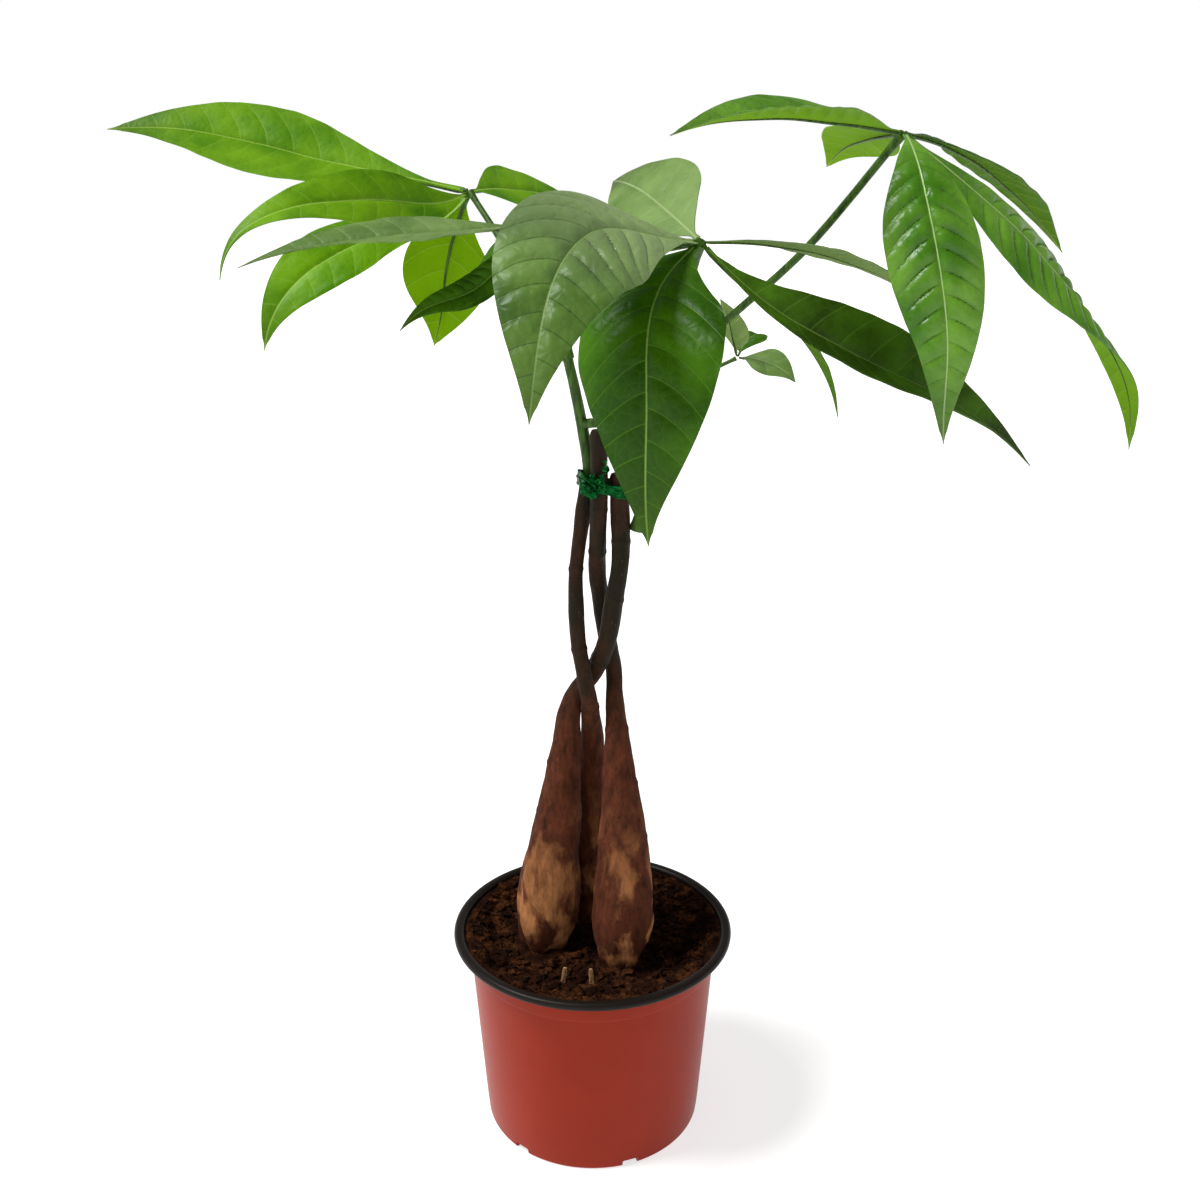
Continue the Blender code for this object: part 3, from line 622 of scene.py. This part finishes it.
def blade_relief(wax, size, share, x, along, across):
    """How far the blade stands off its plate in mm: puffed between its veins, sunk along them."""
    puff = abs(math.sin(math.pi * vein_phase(along / size, across / size))) ** 0.5
    quilt = wax.quilt * share * (1 - abs(x) ** 4) * (1 - math.exp(-(across / 2) ** 2))
    relief = quilt * (puff - 0.5) - 0.6 * share * math.exp(-(across / 1.2) ** 2)
    relief += wax.crinkle * share * abs(x) ** 3 * noise.noise(Vector((along / 9, 4 * x, 3)))
    return relief + 0.7 * share * noise.noise(Vector((along / 26, across / 18, 5)))


def leaflet(name, hub, shape, wax, materials):
    """A thin quilted blade, with a rib under it and a short stalk."""
    base = above_soil(hub)
    path = [base + place for place in midrib(shape, LEAFLET_ROWS + 1)]
    frames = []
    turns = spaced(shape.turns)
    for k, (side, up) in enumerate(carried(path, line_at(path, 0).cross(Vector((0, 0, 1))))):
        turn = math.radians(read_outline(turns, k / LEAFLET_ROWS))
        side = Matrix.Rotation(turn, 3, line_at(path, k)) @ side
        frames.append((side, side.cross(line_at(path, k))))
    lift = math.radians(shape.rise)
    size = wax.spacing / VEIN_SPACING * min(1.0, shape.width / 26)
    bm = bmesh.new()
    veins = bm.loops.layers.uv.new("blade")
    reach = bm.verts.layers.float.new("reach")
    bmesh.ops.create_grid(bm, x_segments=LEAFLET_COLUMNS, y_segments=LEAFLET_ROWS, size=1)
    spot = {}
    for vert in bm.verts:
        x, k = vert.co.x, round((vert.co.y + 1) / 2 * LEAFLET_ROWS)
        vert[reach] = k / LEAFLET_ROWS
        share = read_outline(LEAFLET_OUTLINE, vert[reach] ** shape.fullest)
        share *= min(1.0, TIP_POINT + (1 - vert[reach]) * TIP_TAPER)
        side, up = frames[k]
        across = x * share * shape.width / 2
        along = shape.length * vert[reach]
        relief = blade_relief(wax, size, share, x, along, across)
        sag = shape.droop * (x * share) ** 2
        vert.co = (path[k] + side * across * MM * math.cos(lift)
                   + up * (abs(across) * math.sin(lift) + relief - sag) * MM)
        spot[vert] = (0.5 + across / size / BLADE_MAP[0], along / size / BLADE_MAP[1])
    for face in bm.faces:
        for loop in face.loops:
            loop[veins].uv = spot[loop.vert]
    blade = mesh_object(bm, name + "_blade", materials)
    shell = blade.modifiers.new("blade", "SOLIDIFY")
    shell.thickness = BLADE_THICK
    shell.offset = 0
    shell.material_offset = 1
    bm = bmesh.new()
    bm.from_mesh(blade.evaluated_get(bpy.context.evaluated_depsgraph_get()).to_mesh())
    bpy.data.objects.remove(blade, do_unlink=True)

    thick = RIB_RADIUS * max(0.5, shape.width / 32)
    rib = [base + (path[0] - base) * 0.4]
    for k in range(3, LEAFLET_ROWS - 4):
        along = shape.length * k / LEAFLET_ROWS
        share = read_outline(LEAFLET_OUTLINE, (k / LEAFLET_ROWS) ** shape.fullest)
        sunk = blade_relief(wax, size, share, 0, along, 0) * MM
        rib.append(path[k] + frames[k][1] * (sunk - thick * (1.02 - k / LEAFLET_ROWS) ** 0.7))
    add_tube(bm, evenly(rib, 100), lambda part, angle: thick * (1.02 - part) ** 0.7, 10,
             material=2)
    return mesh_object(bm, name + "_grown", materials)


def leaves(stem):
    finishes = {}
    for name, wax in WAXES.items():
        finishes[name] = (leaf_upper("waxy_leaf_" + name, wax), leaf_under("leaf_back_" + name, wax),
                          stem)
    for leaf, (hub, shapes) in LEAVES.items():
        for number, shape in enumerate(shapes, 1):
            wax = FINISHES[leaf][number - 1]
            thing = leaflet(f"leaflet_{leaf}_{number}", hub, shape, WAXES[wax], finishes[wax])
            place_piece(thing, SLOTS[leaf], f"leaflet_{leaf}_{number}")


# ---------------------------------------------------------------- trunks

def braid_radius(height):
    if height < 0:
        return BULB_RADIUS * (1 + 0.45 * height / TRUNK_BURIED)
    swelling = max(0, 1 - (height / BULB_HEIGHT) ** 2) ** BULB_CURVE
    return STEM_RADIUS + (BULB_RADIUS - STEM_RADIUS) * swelling


def trunk_path(top, places, count):
    points = []
    for height, (across, back) in zip((*BRAID_LEVELS, top), places):
        radius = braid_radius(height * MM)
        points.append(Vector((across * radius, back * radius, SOIL_LEVEL + height * MM)))
    return smooth_path([points[0] - Vector((0, 0, TRUNK_BURIED)), *points], count)


def bark_relief(spot, stout, height, rings):
    """How far bark stands off a smooth trunk, in mm: wrinkles, lumps, scar rings, root folds."""
    x, y, z = spot
    wrinkle = noise.noise(Vector((x / 3, y / 3, z / 10)))
    wrinkle += 0.5 * noise.noise(Vector((x / 1.3, y / 1.3, z / 4)))
    lump = noise.noise(Vector((x / 15, y / 15, z / 22)))
    fold = noise.noise(Vector((x / 6, y / 6, z / 40)))
    base = max(0.0, 1 - height / 45)
    relief = (0.5 * wrinkle + 1.7 * lump) * (0.2 + stout) + 2.8 * base * fold
    return relief + sum(0.3 * math.exp(-((height - ring) / 1.0) ** 2) for ring in rings)


def trunk(name, girth, top, places, rings, materials):
    """A trunk: a swollen foot that narrows to a slim stem with a rough cut end."""
    path = trunk_path(top, places, TRUNK_ROWS)

    def radius_at(part, angle):
        place = path[round(part * (TRUNK_ROWS - 1))]
        height = place.z - SOIL_LEVEL
        radius = girth * braid_radius(height)
        radius *= 1 - PINCH * max(0.0, 1 - max(height, 0) / PINCH_HEIGHT) ** 2
        spot = (radius * math.cos(angle) / MM + top, radius * math.sin(angle) / MM, height / MM)
        change = bark_relief(spot, radius / BULB_RADIUS, height / MM, rings) * MM
        end = min(1.0, (1 - part) * TRUNK_ROWS / 3)
        return (radius + change) * (0.8 + 0.2 * math.sqrt(end))

    bm = bmesh.new()
    add_tube(bm, path, radius_at, TRUNK_AROUND)
    bmesh.ops.recalc_face_normals(bm, faces=bm.faces)
    return mesh_object(bm, name + "_bark", materials)


# ---------------------------------------------------------------- tie

def stem_at(path, level):
    for below, above in zip(path, path[1:]):
        if above.z >= level:
            return below.lerp(above, (level - below.z) / (above.z - below.z))
    return path[-1]


def tie(foil):
    """Foil strip: wound twice round the stems, crumpled, its twisted ends standing up."""
    level = SOIL_LEVEL + TIE_LEVEL
    touching = []
    for girth, top, places, rings in TRUNKS.values():
        middle = stem_at(trunk_path(top, places, 80), level)
        radius = girth * STEM_RADIUS + TIE_CLEARANCE
        for k in range(48):
            angle = math.tau * k / 48
            touching.append((middle.x + radius * math.cos(angle),
                             middle.y + radius * math.sin(angle)))
    ring = [Vector((*touching[k], level)) for k in convex_hull_2d(touching)]
    ring = evenly(ring + ring[:1], 161)
    centre = sum(ring, Vector()) / len(ring)
    for turn, (lean, wide, proud) in enumerate(((-0.3, 4.4, 0.3), (-0.12, 3.2, 0.9))):
        bm = bmesh.new()
        made = bmesh.ops.create_grid(bm, x_segments=160, y_segments=12, size=1)["verts"]
        for vert in made:
            place, y = ring[round((vert.co.x + 1) * 80) % 160], vert.co.y
            out = (place - centre).normalized()
            crumple = noise.noise(Vector((place.x, place.y, y * 1.5 * MM)) / (1.5 * MM)
                                  + Vector((turn * 9, 0, 0)))
            vert.co = place + out * (proud + 0.45 * crumple) * MM
            vert.co.z += y * wide / 2 * MM + lean * (place.x - centre.x) + 0.4 * MM * crumple
        bmesh.ops.remove_doubles(bm, verts=bm.verts, dist=MERGE)
        bmesh.ops.recalc_face_normals(bm, faces=bm.faces)
        band = mesh_object(bm, f"foil_turn_{turn + 1}", [foil])
        wall = band.modifiers.new("foil", "SOLIDIFY")
        wall.thickness = TIE_THICK
        wall.offset = 1
        place_piece(band, "foil_tie", *(["twist_tie"] if turn == 0 else []))

    # The crumpled bunch where the strip is twisted shut, and its two ends.
    middle = above_soil((0.5, -8.2, 204))
    bm = bmesh.new()
    bunch = bmesh.ops.create_icosphere(bm, subdivisions=5, radius=1)["verts"]
    for vert in bunch:
        crease = abs(noise.noise(vert.co * 1.8)) + 0.6 * abs(noise.noise(vert.co * 4))
        way = vert.co * (0.75 + 0.9 * crease)
        vert.co = middle + Vector((way.x * 4.1, way.y * 2.2, way.z * 3.4)) * MM
    place_piece(mesh_object(bm, "foil_bunch", [foil]), "foil_tie")
    ends = {
        "foil_end_up": [(2, -8.5, 205), (4, -9, 208), (5.5, -8, 211), (5, -7.5, 214)],
        "foil_end_right": [(14.5, -5, 201), (17, -7.5, 200.5), (21, -8.5, 199), (24, -8, 199.5)],
    }
    for name, route in ends.items():
        bm = bmesh.new()
        path = smooth_path([above_soil(place) for place in route], 60)

        def radius_at(part, angle):
            twist = angle + 8 * part
            return MM / math.hypot(math.cos(twist) / 1.5, math.sin(twist) / 0.4)

        add_tube(bm, path, radius_at, 28)
        bmesh.ops.recalc_face_normals(bm, faces=bm.faces)
        place_piece(mesh_object(bm, name, [foil]), "foil_tie")


# ---------------------------------------------------------------- pot and soil

def arc(middle, radius, start, stop, count):
    """Points of a round stretch of a profile, angles in degrees."""
    return [(middle[0] + radius * math.cos(math.radians(start + (stop - start) * k / count)),
             middle[1] + radius * math.sin(math.radians(start + (stop - start) * k / count)))
            for k in range(count + 1)]


def body_radius(height):
    top = COLLAR_RADIUS - COLLAR_STEP
    return FOOT_RADIUS + (top - FOOT_RADIUS) * min(height / COLLAR_FOOT, 1)


def turned(bm, profile, sides):
    """Spins a profile that starts and ends on the axis."""
    verts = [bm.verts.new((radius, 0, height)) for radius, height in profile]
    edges = [bm.edges.new(pair) for pair in zip(verts, verts[1:])]
    bmesh.ops.spin(bm, geom=verts + edges, cent=(0, 0, 0), axis=(0, 0, 1), angle=math.tau,
                   steps=sides, use_merge=True)
    bmesh.ops.remove_doubles(bm, verts=bm.verts, dist=MERGE)
    bmesh.ops.recalc_face_normals(bm, faces=bm.faces)


def pot(red, black):
    """Two-colour cup: red outside, black lip and inside, with a stacking step."""
    half = LIP_DEPTH / 2
    lip_middle = POT_HEIGHT - half
    collar_inside = COLLAR_RADIUS - POT_WALL
    foot = arc((FOOT_RADIUS - FOOT_ROUND, FOOT_ROUND), FOOT_ROUND, -90, 0, 8)
    walls = [(body_radius(COLLAR_FOOT * k / 12), COLLAR_FOOT * k / 12) for k in range(1, 13)]
    profile = [(0, 0), (FOOT_RADIUS * 0.7, 0), *foot, *walls,
               (COLLAR_RADIUS - 0.1 * MM, COLLAR_FOOT + COLLAR_STEP * 0.8),
               (COLLAR_RADIUS, COLLAR_FOOT + COLLAR_STEP * 1.3),
               (COLLAR_RADIUS, POT_HEIGHT - LIP_DEPTH - 0.3 * MM),
               (COLLAR_RADIUS + 0.3 * MM, POT_HEIGHT - LIP_DEPTH),
               *arc((LIP_RADIUS - half, lip_middle), half, -90, 90, 14),
               *arc((LIP_RADIUS - LIP_WIDTH + half, lip_middle), half, 90, 180, 8),
               (LIP_RADIUS - LIP_WIDTH + 0.2 * MM, POT_HEIGHT - LIP_DEPTH + LEDGE),
               (collar_inside, POT_HEIGHT - LIP_DEPTH + 0.6 * LEDGE),
               (collar_inside, POT_HEIGHT - LIP_DEPTH - 0.5 * MM),
               (collar_inside, COLLAR_FOOT + COLLAR_STEP),
               (body_radius(COLLAR_FOOT) - POT_WALL, COLLAR_FOOT - 0.5 * MM),
               (body_radius(POT_FLOOR) - POT_WALL, POT_FLOOR), (0, POT_FLOOR)]
    bm = bmesh.new()
    turned(bm, profile, POT_SIDES)
    for face in bm.faces:
        middle = face.calc_center_median()
        inward = face.normal.dot(Vector((middle.x, middle.y, 0)).normalized()) < -0.1
        inside = inward or (face.normal.z > 0.9 and middle.z < COLLAR_FOOT)
        face.material_index = int(inside or middle.z > POT_HEIGHT - LIP_DEPTH - 0.1 * MM)
    body = mesh_object(bm, "pot_uncut", [red, black])
    bm = bmesh.new()
    for k in range(SLOT_COUNT):
        shape = (Matrix.Rotation(SLOT_TURN + math.tau * k / SLOT_COUNT, 4, "Z")
                 @ Matrix.Translation((0, -FOOT_RADIUS, 0)) @ Matrix.Diagonal((*SLOT_SIZE, 1)))
        bmesh.ops.create_cube(bm, size=1, matrix=shape)
    bmesh.ops.bevel(bm, geom=list(bm.edges), offset=0.8 * MM, segments=3, affect="EDGES",
                    profile=0.5, material=-1)
    cutter = mesh_object(bm, "slot_cutter", [red])
    cut = body.modifiers.new("slots", "BOOLEAN")
    cut.operation = "DIFFERENCE"
    cut.solver = "EXACT"
    cut.object = cutter
    done = body.evaluated_get(bpy.context.evaluated_depsgraph_get()).to_mesh()
    bm = bmesh.new()
    bm.from_mesh(done)
    for old in (body, cutter):
        bpy.data.objects.remove(old, do_unlink=True)
    place_piece(mesh_object(bm, "moulded_pot", [red, black]), "pot_plastic", "pot")


def soil_height(x, y):
    """The crumbly surface: lumpy, nearly level, and banked up against the lip."""
    from_rim = min(max((math.hypot(x, y) - BANK_FROM) / (SOIL_EDGE - BANK_FROM), 0.0), 1.0)
    bank = BANK_HEIGHT * from_rim * from_rim * (3 - 2 * from_rim)
    lumps = (1.5 * noise.noise(Vector((x, y, 0)) / (9 * MM))
             + 1.1 * noise.noise(Vector((x, y, 5)) / (4 * MM))
             + 0.5 * noise.noise(Vector((x, y, 9)) / (1.7 * MM)))
    return SOIL_LEVEL + bank + (0.2 + lumps * (1 - 0.75 * from_rim)) * MM


def under_trunk(x, y):
    """True where a trunk stands."""
    for girth, top, places, rings in TRUNKS.values():
        across, back = places[0]
        if math.hypot(x - across * BULB_RADIUS, y - back * BULB_RADIUS) < girth * BULB_RADIUS:
            return True
    return False


def soil(peat, fibre):
    bottom = POT_FLOOR + 0.3 * MM
    wall = COLLAR_RADIUS - POT_WALL - 0.2 * MM
    rings = 80
    bm = bmesh.new()
    turned(bm, [(0, bottom), (body_radius(bottom) - POT_WALL - 0.4 * MM, bottom),
                (body_radius(COLLAR_FOOT) - POT_WALL - 0.2 * MM, COLLAR_FOOT - MM),
                (wall, COLLAR_FOOT + MM), (wall, POT_HEIGHT - LIP_DEPTH + LEDGE),
                *[(SOIL_EDGE * (1 - k / rings), POT_HEIGHT) for k in range(rings + 1)]], 200)
    for vert in bm.verts:
        if vert.co.z > POT_HEIGHT - MM:
            vert.co.z = soil_height(vert.co.x, vert.co.y)
    place_piece(mesh_object(bm, "peat_bed", [peat]), "soil", "soil")

    rng = random.Random(7)
    bm = bmesh.new()
    made = 0
    while made < 1500:
        far, angle = SOIL_EDGE * math.sqrt(rng.random()) * 0.96, math.tau * rng.random()
        x, y = far * math.cos(angle), far * math.sin(angle)
        if under_trunk(x, y):
            continue
        made += 1
        size = (0.5 + 2.2 * rng.random() ** 3) * MM
        squash = (0.7 + 0.6 * rng.random(), 0.7 + 0.6 * rng.random(), 0.5 + 0.4 * rng.random())
        shape = (Matrix.Translation((x, y, soil_height(x, y) + size * 0.25))
                 @ Matrix.Rotation(math.tau * rng.random(), 4, "Z")
                 @ Matrix.Diagonal((*squash, 1)))
        crumb = bmesh.ops.create_icosphere(bm, subdivisions=1, radius=size, matrix=shape)
        for vert in crumb["verts"]:
            vert.co += noise.noise_vector(vert.co / (1.2 * MM)) * size * 0.35
    place_piece(mesh_object(bm, "peat_crumbs", [peat]), "soil")

    bm = bmesh.new()
    made = 0
    while made < 110:
        far, angle = SOIL_EDGE * math.sqrt(rng.random()) * 0.93, math.tau * rng.random()
        x, y = far * math.cos(angle), far * math.sin(angle)
        if under_trunk(x, y):
            continue
        made += 1
        heading, length = math.tau * rng.random(), (3 + 8 * rng.random()) * MM
        thick = (0.12 + 0.22 * rng.random()) * MM
        points = []
        for k in range(4):
            px = x + math.cos(heading + 0.5 * k * (rng.random() - 0.5)) * length * (k / 3 - 0.5)
            py = y + math.sin(heading + 0.5 * k * (rng.random() - 0.5)) * length * (k / 3 - 0.5)
            if math.hypot(px, py) > SOIL_EDGE - 2 * MM:
                px, py = px * 0.9, py * 0.9
            points.append(Vector((px, py, soil_height(px, py) + (0.3 + 0.9 * rng.random()) * MM)))
        add_tube(bm, smooth_path(points, 9), lambda share, angle: thick * (1.1 - share), 5)
    bmesh.ops.recalc_face_normals(bm, faces=bm.faces)
    place_piece(mesh_object(bm, "peat_fibres", [fibre]), "soil")


def root_chips(wood):
    """Split slivers of root: rough, tapered, a little bent."""
    for name in ("root_chip_left", "root_chip_right"):
        low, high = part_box(name)
        middle = (low + high) / 2
        lean = 0.6 * MM if name.endswith("left") else -0.5 * MM
        points = [Vector((middle.x - lean, middle.y, low.z + 0.4 * MM)),
                  Vector((middle.x, middle.y - 0.2 * MM, middle.z)),
                  Vector((middle.x + lean, middle.y, high.z - 0.4 * MM))]
        bm = bmesh.new()

        def radius_at(share, angle):
            flat = 1 / math.hypot(math.cos(angle) / 1.5, math.sin(angle) / 0.75)
            split = noise.noise(Vector((math.cos(angle) * 2, math.sin(angle) * 2, share * 3)))
            return MM * flat * (1 - 0.5 * share) * (1 + 0.35 * split)

        add_tube(bm, smooth_path(points, 40), radius_at, 24, Vector((1, 0, 0)))
        bmesh.ops.recalc_face_normals(bm, faces=bm.faces)
        place_piece(mesh_object(bm, name + "_sliver", [wood]), "root_wood", name)


# ---------------------------------------------------------------- stage

def stage():
    """Pale seamless floor, a soft key from the upper left, and the camera."""
    bm = bmesh.new()
    bmesh.ops.create_grid(bm, x_segments=1, y_segments=1, size=12)
    material, tree, place = new_material("pale_floor")
    paper = add(tree, PRINCIPLED, {"Base Color": colour("c4c4c2"), "Roughness": 0.9,
                                   "Emission Color": (1, 1, 1, 1), "Emission Strength": 0.7})
    add(tree, "ShaderNodeOutputMaterial", {"Surface": paper})
    mesh_object(bm, "floor", [material])

    # The studio is white round the object and darker overhead, so glossy leaves keep contrast.
    world = bpy.data.worlds.new("studio")
    bpy.context.scene.world = world
    world.use_nodes = True
    tree = world.node_tree
    tree.nodes.clear()
    up = add(tree, SPLIT, {0: add(tree, "ShaderNodeTexCoord").outputs["Generated"]}).outputs[2]
    glow = add(tree, RANGE, {0: up, 1: 0.16, 2: 0.42, 3: 1.0, 4: 0.2})
    around = add(tree, "ShaderNodeBackground", {"Color": (1, 1, 1, 1), "Strength": glow})
    add(tree, "ShaderNodeOutputWorld", {"Surface": around})

    key = bpy.data.lights.new("key", "SUN")
    key.energy = 3.4
    key.angle = math.radians(20)
    lamp = bpy.data.objects.new("key", key)
    lamp.rotation_euler = Vector((0.6, 0.1, -1)).to_track_quat("-Z", "Y").to_euler()
    bpy.context.scene.collection.objects.link(lamp)

    lens = bpy.data.cameras.new("camera")
    lens.lens = 37.9
    lens.sensor_width = 36
    camera = bpy.data.objects.new("camera", lens)
    camera.location = (0.0032, -0.482, 0.39)
    camera.rotation_euler = (math.radians(72.4), 0, 0)
    bpy.context.scene.collection.objects.link(camera)
    bpy.context.scene.camera = camera
    bpy.context.scene.view_settings.view_transform = "Standard"


def main():
    stage()
    stem = green_stem()
    corky = corky_bark()
    pot(polypropylene("red_polypropylene", "801e09", "98290e", 0.38),
        polypropylene("black_polypropylene", "100c09", "1f1914", 0.4))
    soil(moist_peat(),
         grained("peat_fibre", "24140b", "4f3320", 1.2, 0.9))
    for name, (girth, top, places, rings) in TRUNKS.items():
        thing = trunk(name, girth, top, places, rings, [corky])
        place_piece(thing, "bark", name)
    for name, (foot, base, tip, route) in SHOOTS.items():
        points = route_from(foot, route)
        place_piece(limb(name + "_grown", base, tip, points, 120, 0.08, [stem]), "green_stem", name)
    for leaf, (foot, base, tip, route) in STALKS.items():
        hub = above_soil(LEAVES[leaf][0])
        points = route_from(foot, route)
        points.append(hub + (points[-1] - hub).normalized() * HUB_RADIUS * 0.2)
        thing = limb(f"stalk_{leaf}_grown", base, tip, points, 160, 0.3, [stem])
        place_piece(thing, "green_stem", "stalk_" + leaf)
    leaves(stem)
    tie(grained("green_foil", "01200b", "036024", 1.4, 0.26, metallic=0.8, relief=0.6))
    root_chips(grained("root_wood", "7a5236", "c79a6c", 0.9, 0.8))


main()
